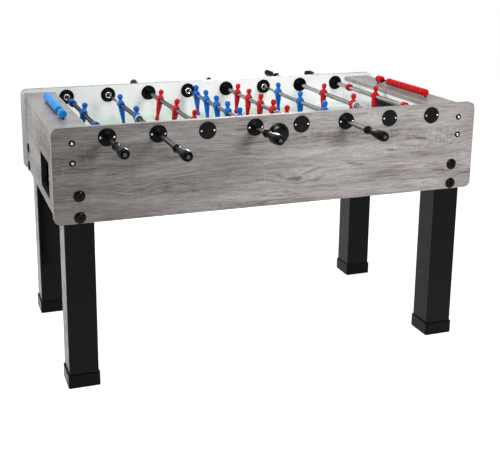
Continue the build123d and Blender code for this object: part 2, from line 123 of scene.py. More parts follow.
class Shell:
    """Points and faces of one piece, gathered before its mesh is made."""

    def __init__(self):
        self.points = []
        self.faces = []
        self.finishes = []

    def skin(self, rings, place=Matrix(), finish=0, hollow=False):
        """Skins closed loops of points. A hollow skin joins its last loop to its first."""
        first = len(self.points)
        count = len(rings[0])
        for ring in rings:
            self.points += [place @ Vector(point) for point in ring]
        pairs = [(row, row + 1) for row in range(len(rings) - 1)]
        if hollow:
            pairs.append((len(rings) - 1, 0))
        added = []
        for low, high in pairs:
            for column in range(count):
                after = (column + 1) % count
                added.append(
                    (
                        first + low * count + column,
                        first + low * count + after,
                        first + high * count + after,
                        first + high * count + column,
                    )
                )
        if not hollow:
            added.append(tuple(first + column for column in range(count)))
            last = first + (len(rings) - 1) * count
            added.append(tuple(last + column for column in range(count)))
        self.faces += added
        self.finishes += [finish] * len(added)

    def mesh(self, name, materials):
        """Makes the mesh, with points that fall together joined and sharp edges kept."""
        made = bpy.data.meshes.new(name)
        made.from_pydata([tuple(point) for point in self.points], [], self.faces)
        for polygon, finish in zip(made.polygons, self.finishes):
            polygon.material_index = finish
        work = bmesh.new()
        work.from_mesh(made)
        bmesh.ops.remove_doubles(work, verts=work.verts, dist=join_distance)
        bmesh.ops.recalc_face_normals(work, faces=work.faces)
        work.to_mesh(made)
        work.free()
        for material in materials:
            made.materials.append(material)
        made.shade_smooth()
        made.set_sharp_from_angle(angle=sharp_angle)
        return made


def turned(profile, segments=48, across=None):
    """Loops of a turned shape. Across scales a radius by angle and height."""
    rings = []
    for radius, height in profile:
        ring = []
        for step in range(segments):
            angle = 2 * math.pi * step / segments
            reach = radius * (across(angle, height) if across else 1) * MM
            ring.append((reach * math.cos(angle), reach * math.sin(angle), height * MM))
        rings.append(ring)
    return rings


def polygon_radius(angle, sides):
    """Radius of a polygon as a share of its corner radius."""
    turn = 2 * math.pi / sides
    return math.cos(turn / 2) / math.cos(angle % turn - turn / 2)


def hexagon(angle, _height):
    """Makes a turned shape six-sided."""
    return polygon_radius(angle, 6)


def octagon(angle, _height):
    """Makes a turned shape eight-sided, with eased corners."""
    return min(polygon_radius(angle, 8), 0.985)


def soften(profile, radius, steps=3):
    """Rounds the inner corners of an open profile."""
    soft = [Vector(profile[0])]
    for before, corner, after in zip(profile, profile[1:], profile[2:]):
        corner = Vector(corner)
        back = Vector(before) - corner
        ahead = Vector(after) - corner
        reach = min(radius, back.length / 2, ahead.length / 2)
        first = corner + back.normalized() * reach
        last = corner + ahead.normalized() * reach
        for step in range(steps + 1):
            t = step / steps
            soft.append((1 - t) ** 2 * first + 2 * t * (1 - t) * corner + t**2 * last)
    soft.append(Vector(profile[-1]))
    return [tuple(point) for point in soft]


def smooth_rows(rows, steps):
    """Points on a smooth curve through rows of numbers, with steps between each pair."""
    ends = [rows[0]] + list(rows) + [rows[-1]]
    curve = []
    for before, first, second, after in zip(ends, ends[1:], ends[2:], ends[3:]):
        for step in range(steps):
            t = step / steps
            curve.append(
                [
                    b
                    + 0.5 * (c - a) * t
                    + 0.5 * (2 * a - 5 * b + 4 * c - d) * t**2
                    + 0.5 * (3 * b - a - 3 * c + d) * t**3
                    for a, b, c, d in zip(before, first, second, after)
                ]
            )
    curve.append(list(rows[-1]))
    return curve


def spread(low, high, margin, count):
    """Evenly spaced places along Y between two ends."""
    first = low + margin
    last = high - margin
    if count == 1:
        return [(first + last) / 2]
    return [first + (last - first) * number / (count - 1) for number in range(count)]


def on_axis(axis, y):
    """The point of a rod's axis at one distance along Y."""
    return Vector((axis.x, y, axis.z))


def facing(at, direction):
    """Place of a turned shape whose height runs along a direction."""
    return Matrix.Translation(at) @ Vector(direction).to_track_quat("Z", "X").to_matrix().to_4x4()


def copies(name, mesh, places):
    """One mesh made of copies of another."""
    work = bmesh.new()
    for place in places:
        part = mesh.copy()
        part.transform(place)
        work.from_mesh(part)
        bpy.data.meshes.remove(part)
    made = bpy.data.meshes.new(name)
    work.to_mesh(made)
    work.free()
    for material in mesh.materials:
        made.materials.append(material)
    return made


def piece(name, mesh, body, slot, *replaced):
    """Adds a mesh as a piece that rides on a body and stands for CAD nodes."""
    made = bpy.data.objects.new(name, mesh)
    bpy.context.scene.collection.objects.link(made)
    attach(made, body)
    if replaced:
        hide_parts(*replaced)
    return made


# Materials
noise_span = (0.3, 0.7)  # where most values of a noise lie
white_colour = (0.82, 0.82, 0.815)


def rgba(colour, factor=1.0):
    """A colour, made darker or lighter, in the form that a shader takes."""
    return (*(channel * factor for channel in colour), 1)


class Nodes:
    """Short calls that add nodes to one node tree."""

    def __init__(self, tree):
        self.tree = tree

    def feed(self, value, socket):
        """Links an output to a socket, or sets the socket to a number."""
        if isinstance(value, bpy.types.NodeSocket):
            self.tree.links.new(value, socket)
        else:
            socket.default_value = value

    def maths(self, operation, first, second=0.0, third=0.0):
        """A number worked out from up to three others."""
        node = self.tree.nodes.new("ShaderNodeMath")
        node.operation = operation
        for value, socket in zip((first, second, third), node.inputs):
            self.feed(value, socket)
        return node.outputs["Value"]

    def span(self, value, low, high, to_low=0.0, to_high=1.0):
        """Maps a range of values to another with soft ends."""
        node = self.tree.nodes.new("ShaderNodeMapRange")
        node.interpolation_type = "SMOOTHSTEP"
        for number, socket in zip((value, low, high, to_low, to_high), node.inputs):
            self.feed(number, socket)
        return node.outputs["Result"]

    def parts(self, vector):
        """The three numbers of a vector."""
        node = self.tree.nodes.new("ShaderNodeSeparateXYZ")
        self.feed(vector, node.inputs["Vector"])
        return node.outputs["X"], node.outputs["Y"], node.outputs["Z"]

    def seen_rays(self, path):
        """1 on camera, glossy and transmission rays, 0 on the rays that carry light."""
        seen = self.maths("MAXIMUM", path["Is Camera Ray"], path["Is Glossy Ray"])
        return self.maths("MAXIMUM", seen, path["Is Transmission Ray"])


class Finish(Nodes):
    """One material: its textures and the sockets of its shader."""

    def __init__(self, name):
        self.material = bpy.data.materials.new(name)
        self.material.use_nodes = True
        super().__init__(self.material.node_tree)
        self.shader = self.tree.nodes["Principled BSDF"]
        texture = self.tree.nodes.new("ShaderNodeTexCoord").outputs
        self.coords = texture["Object"]
        self.normal = texture["Normal"]

    def set(self, **values):
        """Sets sockets of the shader that are the same all over."""
        for name, value in values.items():
            self.shader.inputs[name.replace("_", " ")].default_value = value

    def stretched(self, scale, turn=(0, 0, 0)):
        """Object coordinates, turned and scaled along each axis."""
        node = self.tree.nodes.new("ShaderNodeMapping")
        self.feed(self.coords, node.inputs["Vector"])
        node.inputs["Scale"].default_value = scale
        node.inputs["Rotation"].default_value = [math.radians(angle) for angle in turn]
        return node.outputs["Vector"]

    def noise(self, vector, scale=1.0, detail=3.0, roughness=0.55):
        """Soft noise. Scale is its marks along one unit of the vector."""
        node = self.tree.nodes.new("ShaderNodeTexNoise")
        self.feed(vector, node.inputs["Vector"])
        node.inputs["Scale"].default_value = scale
        node.inputs["Detail"].default_value = detail
        node.inputs["Roughness"].default_value = roughness
        return node.outputs["Fac"]

    def cells(self, vector):
        """Distance to the nearest of scattered points."""
        node = self.tree.nodes.new("ShaderNodeTexVoronoi")
        self.feed(vector, node.inputs["Vector"])
        node.inputs["Scale"].default_value = 1.0
        return node.outputs["Distance"]

    def even(self, noise, to_low=0.0, to_high=1.0):
        """Spreads a noise over a whole range."""
        return self.span(noise, *noise_span, to_low, to_high)

    def blend(self, share, first, second):
        """Mixes two colours."""
        node = self.tree.nodes.new("ShaderNodeMix")
        node.data_type = "RGBA"
        self.feed(share, node.inputs["Factor"])
        sockets = [socket for socket in node.inputs if socket.type == "RGBA"]
        self.feed(first, sockets[0])
        self.feed(second, sockets[1])
        return next(socket for socket in node.outputs if socket.type == "RGBA")

    def shades(self, noise, colour, low, high):
        """A darker and a lighter shade of one colour, mixed by a noise."""
        return self.blend(self.even(noise), rgba(colour, low), rgba(colour, high))

    def ramp(self, value, *stops):
        """Colours at places along 0 to 1."""
        node = self.tree.nodes.new("ShaderNodeValToRGB")
        self.feed(value, node.inputs["Fac"])
        elements = node.color_ramp.elements
        while len(elements) < len(stops):
            elements.new(0.5)
        for element, (place, colour) in zip(elements, stops):
            element.position = place
            element.color = rgba(colour)
        return node.outputs["Color"]

    def joined(self, *numbers):
        """A vector of three numbers."""
        node = self.tree.nodes.new("ShaderNodeCombineXYZ")
        for value, socket in zip(numbers, node.inputs):
            self.feed(value, socket)
        return node.outputs["Vector"]

    def times(self, vector, scale):
        """A vector scaled along each axis."""
        node = self.tree.nodes.new("ShaderNodeVectorMath")
        node.operation = "MULTIPLY"
        self.feed(vector, node.inputs[0])
        self.feed(scale, node.inputs[1])
        return node.outputs["Vector"]

    def reach(self, axis):
        """Distance from the middle of the table along one axis."""
        return self.maths("ABSOLUTE", self.parts(self.coords)["xyz".index(axis)])

    def square_to(self, axis):
        """1 on surfaces that face along one axis, 0 on the others."""
        along = self.parts(self.normal)["xyz".index(axis)]
        return self.span(self.maths("ABSOLUTE", along), 0.5, 0.8)

    def bump(self, height, depth):
        """Raises the surface by a height between 0 and 1 times a depth in metres."""
        node = self.tree.nodes.new("ShaderNodeBump")
        self.feed(height, node.inputs["Height"])
        node.inputs["Distance"].default_value = depth
        self.feed(node.outputs["Normal"], self.shader.inputs["Normal"])

    def colour(self, value):
        """Gives the shader its colour."""
        self.feed(value, self.shader.inputs["Base Color"])

    def roughness(self, value):
        """Gives the shader its roughness."""
        self.feed(value, self.shader.inputs["Roughness"])


def oak(
    name, dark, middle, light, turn=(0, 0, 0), flat=None, edge=None, ends=None, plain=None,
    plain_top=1.0, rough=(0.62, 0.46), specular=0.3,
):
    """Grey oak laminate: wandering streaks, dashes, ray flecks, pores and small knots.

    The grain runs along X, or where turn, in degrees, lays it. Flat is the axis that the broad faces
    look along: the other faces have an edge band in one colour, and the faces at the ends another.
    Where that colour at the ends is lighter, it is painted light from the side.
    Plain is an axis and a distance: what is nearer to the middle of the table along that axis, and
    below plain_top, is white laminate.
    """
    wander_height = 75 * MM  # how far the grain drifts across a board
    swirl_height = 22 * MM  # how far it bends around a knot
    ring_rate = 95  # turns of the rings around a knot
    pore_share = 0.35

    wood = Finish(name)
    along, depth, across = wood.parts(wood.stretched((1, 1, 1), turn))
    wander = wood.noise(wood.stretched((0.9, 3, 5), turn), 1, 3, 0.5)
    to_knot = wood.cells(wood.stretched((2.2, 5, 7), turn))
    knot = wood.span(to_knot, 0.02, 0.1, 1, 0)
    swirl = wood.span(to_knot, 0.0, 0.3, 1, 0)
    level = wood.maths("MULTIPLY_ADD", wander, wander_height, across)
    level = wood.maths("MULTIPLY_ADD", swirl, swirl_height, level)
    grain = wood.joined(along, depth, level)

    def lines(scale, detail, roughness=0.6):
        """Noise laid out with the grain. Scale is its marks per metre along, through and across."""
        return wood.noise(wood.times(grain, scale), 1, detail, roughness)

    broad = lines((2.2, 8, 13), 3)
    streak = lines((6, 55, 90), 4, 0.65)
    fine = lines((20, 160, 300), 3)
    fibre = lines((80, 500, 800), 2)
    dash_area = wood.span(lines((3, 9, 14), 2), 0.47, 0.66)
    dash = wood.maths("MULTIPLY", wood.span(lines((12, 75, 130), 2), 0.55, 0.68), dash_area)
    ray_area = wood.span(lines((4, 8, 12), 2), 0.52, 0.68)
    ray = wood.maths("MULTIPLY", wood.span(lines((150, 40, 22), 2, 0.5), 0.45, 0.65), ray_area)
    ring = wood.maths("SINE", wood.maths("MULTIPLY", to_knot, ring_rate))
    ring = wood.maths("MULTIPLY", ring, swirl)

    # How far each kind of mark lightens the wood, and the middle and the reach of their sum
    shares = (
        (streak, 0.34), (fine, 0.55), (fibre, 0.32), (ring, 0.04), (dash, -0.26), (knot, -0.13),
        (ray, 0.08),
    )
    mix_middle = 0.94
    mix_reach = 0.22
    mix = wood.maths("MULTIPLY", broad, 0.72)
    for value, share in shares:
        mix = wood.maths("MULTIPLY_ADD", value, share, mix)
    centred = wood.maths("SUBTRACT", mix, mix_middle - 0.5)
    tone = wood.ramp(centred, (0.5 - mix_reach, dark), (0.5, middle), (0.5 + mix_reach, light))
    pores = wood.span(lines((60, 900, 1500), 1), 0.6, 0.72)
    tone = wood.blend(wood.maths("MULTIPLY", pores, pore_share), tone, rgba(dark, 0.85))
    if flat:
        band = wood.shades(streak, edge, 0.9, 1.1)
        if ends:
            # a lighter colour on the faces at the ends is painted light from the side
            band = wood.blend(wood.square_to("x"), band, rgba(ends))
        tone = wood.blend(wood.square_to(flat), band, tone)
    if plain:
        axis, limit = plain
        near = wood.maths("LESS_THAN", wood.reach(axis), limit)
        below = wood.maths("LESS_THAN", wood.parts(wood.coords)[2], plain_top)
        tone = wood.blend(wood.maths("MULTIPLY", near, below), tone, rgba(white_colour))
    wood.colour(tone)
    wood.roughness(wood.span(mix, 0.65, 1.25, *rough))
    wood.bump(wood.maths("SUBTRACT", fibre, pores), 0.1 * MM)
    wood.set(Specular_IOR_Level=specular)
    return wood.material


def moulded(name, colour, rough, grain, depth, specular, drift=0.12, coat=0.0):
    """Moulded plastic or powder coat: a fine skin and slight changes of tone and gloss.

    Grain is the skin's marks per metre and depth their height in mm. Drift is how far the colour
    changes.
    """
    skin = Finish(name)
    slow = skin.noise(skin.coords, 28, 3)
    fine = skin.noise(skin.coords, grain, 2)
    flow = skin.noise(skin.stretched((90, 90, 14)), 1, 3)
    tone = skin.maths("MULTIPLY_ADD", flow, 0.5, skin.maths("MULTIPLY", slow, 0.5))
    skin.colour(skin.shades(tone, colour, 1 - drift, 1 + drift))
    skin.roughness(skin.even(slow, rough - 0.06, rough + 0.06))
    skin.bump(fine, depth * MM)
    skin.set(Specular_IOR_Level=specular, Coat_Weight=coat, Coat_Roughness=0.08)
    return skin.material


def metal(name, colour, rough, scale=(600, 5, 600), grazing=1.0):
    """Polished or drawn metal with fine marks.

    Scale is the marks per metre along each axis. Grazing dims the reflection at flat angles.
    """
    bright = Finish(name)
    lines = bright.noise(bright.stretched(scale), 1, 4, 0.6)
    cloud = bright.noise(bright.coords, 35, 2)
    bright.colour(bright.shades(lines, colour, 0.85, 1.075))
    mixed = bright.maths("MULTIPLY_ADD", cloud, 0.4, bright.maths("MULTIPLY", lines, 0.6))
    bright.roughness(bright.even(mixed, rough, rough + 0.08))
    bright.bump(lines, 0.01 * MM)
    bright.set(Metallic=1.0, Specular_Tint=rgba((grazing, grazing, grazing)))
    return bright.material


def laminate(name, colour, rough):
    """White laminate: faint clouds in its print and a soft pearl skin."""
    sheet = Finish(name)
    slow = sheet.noise(sheet.coords, 7, 4)
    fine = sheet.noise(sheet.coords, 900, 2)
    sheet.colour(sheet.shades(slow, colour, 0.95, 1.03))
    sheet.roughness(sheet.even(slow, rough - 0.06, rough + 0.08))
    sheet.bump(fine, 0.02 * MM)
    return sheet.material


def field_glass(name, colour, line_colour):
    """Sanded pale green glass with a printed pitch."""
    half_line = 2.2 * MM
    circle_radius = 105 * MM
    spot_radius = 7 * MM
    boxes = ((225 * MM, 235 * MM), (110 * MM, 150 * MM))  # depth from the end and half width of each box
    line_share = 0.85

    glass = Finish(name)
    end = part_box("playfield_glass")[1].x
    x, y, _ = glass.parts(glass.coords)
    far_x = glass.maths("ABSOLUTE", x)
    far_y = glass.maths("ABSOLUTE", y)

    def both(first, second):
        """1 where both are 1."""
        return glass.maths("MULTIPLY", first, second)

    def either(first, second):
        """1 where either is 1."""
        return glass.maths("MAXIMUM", first, second)

    def near(value, place):
        """1 on a line where a value passes a place."""
        gap = glass.maths("ABSOLUTE", glass.maths("SUBTRACT", value, place))
        return glass.span(gap, half_line, half_line * 1.5, 1, 0)

    def box_lines(box_depth, box_half):
        """The lines of one box at each end."""
        inside = glass.maths("LESS_THAN", far_y, box_half + half_line)
        beyond = glass.maths("GREATER_THAN", far_x, end - box_depth - half_line)
        return either(both(near(far_x, end - box_depth), inside), both(near(far_y, box_half), beyond))

    out = glass.maths("POWER", glass.maths("ADD", both(x, x), both(y, y)), 0.5)
    marks = either(near(far_x, 0), near(out, circle_radius))
    marks = either(marks, glass.span(out, spot_radius, spot_radius + 1 * MM, 1, 0))
    for box in boxes:
        marks = either(marks, box_lines(*box))
    cloud = glass.noise(glass.coords, 14, 3)
    sand = glass.noise(glass.coords, 1400, 2)
    base = glass.shades(cloud, colour, 0.96, 1.03)
    glass.colour(glass.blend(glass.maths("MULTIPLY", marks, line_share), base, rgba(line_colour)))
    glass.roughness(glass.even(sand, 0.3, 0.42))
    glass.bump(sand, 0.02 * MM)
    glass.set(Coat_Weight=0.2, Coat_Roughness=0.2)
    return glass.material


face_margin = 0.3 * MM  # past an inner face, so that the face itself is white
rail_inner = min(low.x for low, high in solids("end_rails") if low.x > 0)
rail_lip = 16 * MM  # oak on the rail's inner face, above the white of the goal wall
# Side panels: the lighter colour on the faces at their ends is painted light from the side.
grey_oak = oak(
    "grey_oak", (0.11, 0.087, 0.078), (0.282, 0.257, 0.246), (0.45, 0.424, 0.412), flat="y",
    edge=(0.3, 0.282, 0.272), ends=(0.46, 0.44, 0.43), plain=("y", panel_inner + face_margin),
)
# End panels: the faces that do not look along X, the jambs of the openings among them, are near black.
end_oak = oak(
    "grey_oak_ends", (0.17, 0.153, 0.144), (0.35, 0.327, 0.314), (0.52, 0.494, 0.478), (0, 0, 90),
    flat="x", edge=(0.012, 0.012, 0.012),
)
rail_oak = oak(
    "grey_oak_rail", (0.17, 0.155, 0.146), (0.27, 0.254, 0.245), (0.37, 0.354, 0.344), (90, 0, 90),
    plain=("x", rail_inner + face_margin), plain_top=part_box("end_rails")[1].z - rail_lip,
    rough=(0.36, 0.26), specular=0.5,
)
raw_board = oak("raw_board", (0.24, 0.18, 0.12), (0.42, 0.33, 0.23), (0.55, 0.45, 0.33), (90, 0, 0))
white_sheet = laminate("white_laminate", white_colour, 0.4)
ramp_plastic = laminate("ramp_plastic", (0.82, 0.83, 0.82), 0.3)
pitch = field_glass("field_glass", (0.56, 0.69, 0.605), (0.84, 0.86, 0.84))

# Name, colour, roughness, grain, depth of the grain and specular level, then any drift and coat
black_plastic = moulded("black_plastic", (0.0015, 0.0015, 0.0017), 0.2, 1500, 0.02, 0.1)
cap_plastic = moulded("cap_plastic", (0.0055, 0.0058, 0.0068), 0.42, 1500, 0.05, 0.08)
handle_plastic = moulded("handle_plastic", (0.0015, 0.0015, 0.0017), 0.22, 1100, 0.02, 0.06)
badge_plastic = moulded(
    "badge_plastic", (0.002, 0.002, 0.0023), 0.14, 900, 0.01, 0.14, drift=0.1, coat=0.04
)
leg_paint = moulded(
    "leg_black", (0.0022, 0.0022, 0.0025), 0.24, 1300, 0.012, 0.07, drift=0.06, coat=0.07
)
foot_plastic = moulded("foot_plastic", (0.002, 0.002, 0.0022), 0.34, 1300, 0.03, 0.08)
bolt_black = moulded("black_bolt", (0.0012, 0.0012, 0.0013), 0.14, 1800, 0.01, 0.04, coat=0.2)
# Near black on the floor of the collar nut's hollow: painted shade.
recess_painted_shade = moulded("recess_painted_shade", (0.003, 0.003, 0.0032), 0.6, 1500, 0.02, 0.05)
bumper_dark = moulded("bumper_groove", (0.03, 0.03, 0.031), 0.6, 900, 0.08, 0.3)
# The pale grey of the bumper rings is a painted highlight.
bumper_painted_highlight = moulded("bumper_highlight_paint", (0.5, 0.5, 0.51), 0.35, 900, 0.04, 0.4)
team_plastic = {
    "blue": moulded("blue_plastic", (0.0015, 0.1, 0.44), 0.24, 700, 0.015, 0.11),
    "red": moulded("red_plastic", (0.42, 0.004, 0.01), 0.24, 700, 0.015, 0.12),
}
# The scorers' beads and end posts are lighter shades of the team colours than the men: painted light from
# above.
bead_plastic_painted_light = {
    "blue": moulded("blue_bead_painted_light", (0.003, 0.27, 0.76), 0.16, 700, 0.008, 0.03, coat=0.1),
    "red": moulded("red_bead_painted_light", (0.5, 0.004, 0.006), 0.16, 700, 0.008, 0.05, coat=0.1),
}

# Name, colour and roughness
chrome_tube = metal("chrome_tube", (0.64, 0.64, 0.65), 0.08, grazing=0.08)
collar_chrome = metal("collar_chrome", (0.8, 0.8, 0.81), 0.14)
rod_steel = metal("rod_steel", (0.62, 0.61, 0.6), 0.16, grazing=0.4)
screw_steel = metal("screw_steel", (0.62, 0.62, 0.62), 0.16, scale=(900, 900, 900))
score_steel = metal("score_steel", (0.02, 0.02, 0.021), 0.3, grazing=0.1)
nut_steel = metal("handle_nut", (0.12, 0.12, 0.125), 0.2, scale=(400, 400, 400))


def dress(material, *names):
    """Gives CAD nodes a material."""
    for name in names:
        mesh = nodes[name].data
        mesh.materials.clear()
        mesh.materials.append(material)


dress(grey_oak, "side_panel_front", "side_panel_rear")
dress(end_oak, "end_panels")
dress(rail_oak, "end_rails")
dress(raw_board, "playfield_board")
dress(white_sheet, "side_liners", "goal_walls")
dress(ramp_plastic, "corner_ramps")
dress(pitch, "playfield_glass")
dress(black_plastic, "ball_troughs")
dress(leg_paint, "legs")
dress(foot_plastic, "feet")
for rod in rod_axes:
    dress(chrome_tube, f"{rod}_tube")


# The men
man_half_width = 16
man_voxel = 0.9 * MM  # fineness of the skin that joins body, head, arms and hub
man_smoothing = 5  # rounds of smoothing
man_detail = 0.3  # share of the skin's faces that is kept
# Height, middle along X, half depth, half width and squareness of each section, from foot to neck
man_body = (
    (-80, 0.2, 7.6, 8.6, 4),
    (-72, 0.2, 7.6, 8.5, 3.6),
    (-67, 0, 6.8, 7.8, 3),
    (-61, 0, 5.8, 7.1, 2.6),
    (-50, 0, 6.9, 8.2, 2.5),
    (-38, 0, 8.4, 9.6, 2.6),
    (-24, 0, 9.9, 10.8, 2.7),
    (-12, 0, 11.4, 11.4, 2.6),
    (0, 0, 13, 12.2, 2.5),
    (8, 0, 12.8, 12.8, 2.5),
    (13, 0, 10.4, 11.6, 2.4),
    (17, 0, 6.8, 8.2, 2.2),
    (20, 0, 5, 5.6, 2),
    (22, 0, 4.9, 5.2, 2),
)
man_head = (
    (19.5, 0.4, 5.2, 5, 2),
    (22.5, 0.5, 7.8, 7, 2),
    (27, 0.4, 9.5, 8.4, 2),
    (31.5, 0.2, 10, 8.8, 2),
    (36, 0, 8.9, 8, 2),
    (39.3, 0, 6.1, 5.6, 2),
    (41, 0, 1.2, 1.2, 2),
)
# Distance along the arm and radius
man_arm = ((0, 2.6), (2, 4.6), (8, 5), (20, 4.4), (32, 3.8), (40, 3.9), (43, 2.4))
man_hub = soften(
    ((0, -man_half_width), (12.4, -man_half_width), (12.4, man_half_width), (0, man_half_width)), 1.2
)


def body_ring(height, middle, depth, width, square, around=28):
    """Loop of one section of a man: an oval that is boxier the higher its squareness."""
    loop = []
    for step in range(around):
        angle = 2 * math.pi * step / around
        along = math.copysign(abs(math.cos(angle)) ** (2 / square), math.cos(angle))
        aside = math.copysign(abs(math.sin(angle)) ** (2 / square), math.sin(angle))
        loop.append(((middle + depth * along) * MM, width * aside * MM, height * MM))
    return loop


def figure_mesh(material):
    """One man, middle of the hub at the origin, facing +X: body, head, arms and hub in one skin."""
    shell = Shell()
    for sections in (man_body, man_head):
        shell.skin([body_ring(*row) for row in smooth_rows(sections, 4)])
    for side in (-1, 1):
        shoulder = Vector((0, side * 11, 12.5)) * MM
        hand = Vector((4, side * 10.4, -28)) * MM
        rows = [(radius, distance) for distance, radius in smooth_rows(man_arm, 3)]
        shell.skin(turned(rows, 16), facing(shoulder, hand - shoulder))
    shell.skin(turned(man_hub, 32), facing((0, 0, 0), (0, 1, 0)))

    rough = bpy.data.objects.new("figure", shell.mesh("figure_rough", [material]))
    bpy.context.scene.collection.objects.link(rough)
    joined = rough.modifiers.new("join", "REMESH")
    joined.mode = "VOXEL"
    joined.voxel_size = man_voxel
    eased = rough.modifiers.new("ease", "SMOOTH")
    eased.iterations = man_smoothing
    fewer = rough.modifiers.new("fewer", "DECIMATE")
    fewer.ratio = man_detail
    bpy.context.view_layer.update()
    seen = rough.evaluated_get(bpy.context.evaluated_depsgraph_get())
    made = bpy.data.meshes.new_from_object(seen)
    bpy.data.objects.remove(rough)
    made.materials.clear()
    made.materials.append(material)
    made.shade_smooth()
    return made


figures = {team: figure_mesh(material) for team, material in team_plastic.items()}
for rod, axis in rod_axes.items():
    team, row = rod.split("_")
    low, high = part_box(f"{rod}_men")
    lean = Matrix.Rotation(math.radians(men_lean[rod]), 4, "Y")
    turn = lean @ Matrix.Rotation(0 if team == "blue" else math.pi, 4, "Z")
    places = [
        Matrix.Translation(on_axis(axis, y)) @ turn
        for y in spread(low.y, high.y, man_half_width * MM, men_in_row[row])
    ]
    mesh = copies(f"{rod}_men_moulded", figures[team], places)
    piece(f"{rod}_men_moulded", mesh, f"{rod}_rod", f"{team}_plastic", f"{rod}_men")


# The handles
handle_length = 120
nut_seat = 115.5  # floor of the pocket in the handle's end
flute_start = 18
flute_end = 102
flute_count = 9
flute_depth = 0.07  # share of the radius
# Distance from the handle's inner end and radius
handle_rows = (
    (12, 13.2), (16, 11.8), (23, 10.8), (31, 10.5), (43, 11.5), (58, 13.7), (76, 15.9), (92, 16.9),
    (102, 17), (110, 16.3), (115, 14.9),
)


def fluted(angle, height):
    """Shallow finger flutes along the grip of a handle."""
    share = min(max((height - flute_start) / (flute_end - flute_start), 0), 1)
    grip = max(0.0, math.sin(math.pi * share))
    return 1 - flute_depth * grip * (0.5 + 0.5 * math.cos(flute_count * angle)) ** 2


def handle_mesh():
    """A moulded handle along +Z from its collar, with a nut in its rounded end."""
    shell = Shell()
    bore = [(0, 0.4), (tube_bore, 0.4)]
    collar = soften(((tube_bore, 0), (13, 0), (14, 1), (14, 9), (13.4, 10.6)), 0.8)
    grip = [(radius, distance) for distance, radius in smooth_rows(handle_rows, 5)]
    end = [(13, 117.6), (11.4, 119.2), (10, handle_length), (8.8, handle_length)]
    pocket = [(8.1, 119.4), (7.9, nut_seat), (0, nut_seat)]
    shell.skin(turned(bore + collar + grip + end + pocket, 72, fluted))
    nut = soften(((2.4, nut_seat), (7, nut_seat), (7, 118), (6.2, 118.8), (3, 118.8), (2.4, 118.2)), 0.3)
    shell.skin(turned(nut, 36, hexagon), finish=1, hollow=True)
    return shell.mesh("handle", [handle_plastic, nut_steel])


handle = handle_mesh()
for rod, axis in rod_axes.items():
    low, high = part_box(f"{rod}_handle")
    side = handle_side[rod]
    start = on_axis(axis, low.y if side > 0 else high.y)
    mesh = copies(f"{rod}_grip", handle, [facing(start, (0, side, 0))])
    mesh.set_sharp_from_angle(angle=sharp_angle)
    piece(f"{rod}_grip", mesh, f"{rod}_rod", "handle_plastic", f"{rod}_handle")


# Discs, screws and bolts of the cabinet
def disc_shell(profile, places):
    """Turned discs on the walls. Each place is a point and the way along Y that the disc faces."""
    shell = Shell()
    for at, way in places:
        shell.skin(turned(profile, 64), facing(at, (0, way, 0)), hollow=True)
    return shell


def bush_shell():
    """Flanges with noses on the handle side of every rod."""
    profile = (
        (tube_bore, spigot_end), (spigot_radius, spigot_end), (spigot_radius, 0), (disc_radius, 0),
        (disc_radius, 3.2), (27.4, 4.6), (25.4, 4.9), (16.4, 4.9), (14.6, 5.6), (13.6, 6.4), (13, 10.2),
        (12, 11), (8.8, 11), (tube_bore, 10.4),
    )
    places = [
        (on_axis(axis, handle_side[rod] * half_width), handle_side[rod])
        for rod, axis in rod_axes.items()
    ]
    return disc_shell(soften(profile, 0.7), places)


def cap_shell():
    """Closed discs on the far side of every rod, with a fine step inside the rim."""
    profile = (
        (rod_bore, spigot_end), (spigot_radius, spigot_end), (spigot_radius, 0), (disc_radius, 0),
        (disc_radius, 3.4), (27.8, 5), (25.8, 5), (25.2, 4.6), (0, 4.6), (0, 2), (rod_bore, 2),
    )
    places = [
        (on_axis(axis, -handle_side[rod] * half_width), -handle_side[rod])
        for rod, axis in rod_axes.items()
    ]
    return disc_shell(soften(profile, 0.4), places)


def inner_flange_shell():
    """Black discs on the inside of both walls, around every rod."""
    profile = (
        (9, 0), (disc_radius, 0), (disc_radius, 2.2), (27.2, 3.8), (24.4, 3.4), (15, 3.4), (13.6, 4),
        (9.6, 4), (9, 3.4),
    )
    places = [
        (on_axis(axis, side * liner_inner), -side)
        for axis in rod_axes.values()
        for side in (-1, 1)
    ]
    return disc_shell(soften(profile, 0.6), places)


def recessed_head(radius, height, arm, depth, segments=48):
    """Loops of a domed screw head with a cross recess, from its seat. Arm is half the recess's width."""
    rim = 0.35 * height
    recess_reach = 0.62 * radius
    rings = turned([(0, 0), (radius, 0), (radius, rim)], segments)
    for share in (0.97, 0.9, 0.8, 0.7, 0.6, 0.5, 0.42, 0.34, 0.26, 0.18, 0.1, 0):
        rise = rim + (height - rim) * math.sqrt(1 - share**2)
        ring = []
        for step in range(segments):
            angle = 2 * math.pi * step / segments
            x = share * radius * math.cos(angle)
            y = share * radius * math.sin(angle)
            cross = min(abs(x), abs(y)) < arm and max(abs(x), abs(y)) < recess_reach
            ring.append((x * MM, y * MM, (rise - depth * cross) * MM))
        rings.append(ring)
    return rings


def flange_screw_shell():
    """Small bright screws, left and right on every outer disc."""
    shell = Shell()
    offset = 22 * MM
    seat = half_width + 4.7 * MM
    head = recessed_head(radius=3.3, height=2, arm=0.6, depth=0.8)
    for axis in rod_axes.values():
        for side in (-1, 1):
            for shift in (-offset, offset):
                at = Vector((axis.x + shift, side * seat, axis.z))
                shell.skin(head, facing(at, (0, side, 0)))
    return shell


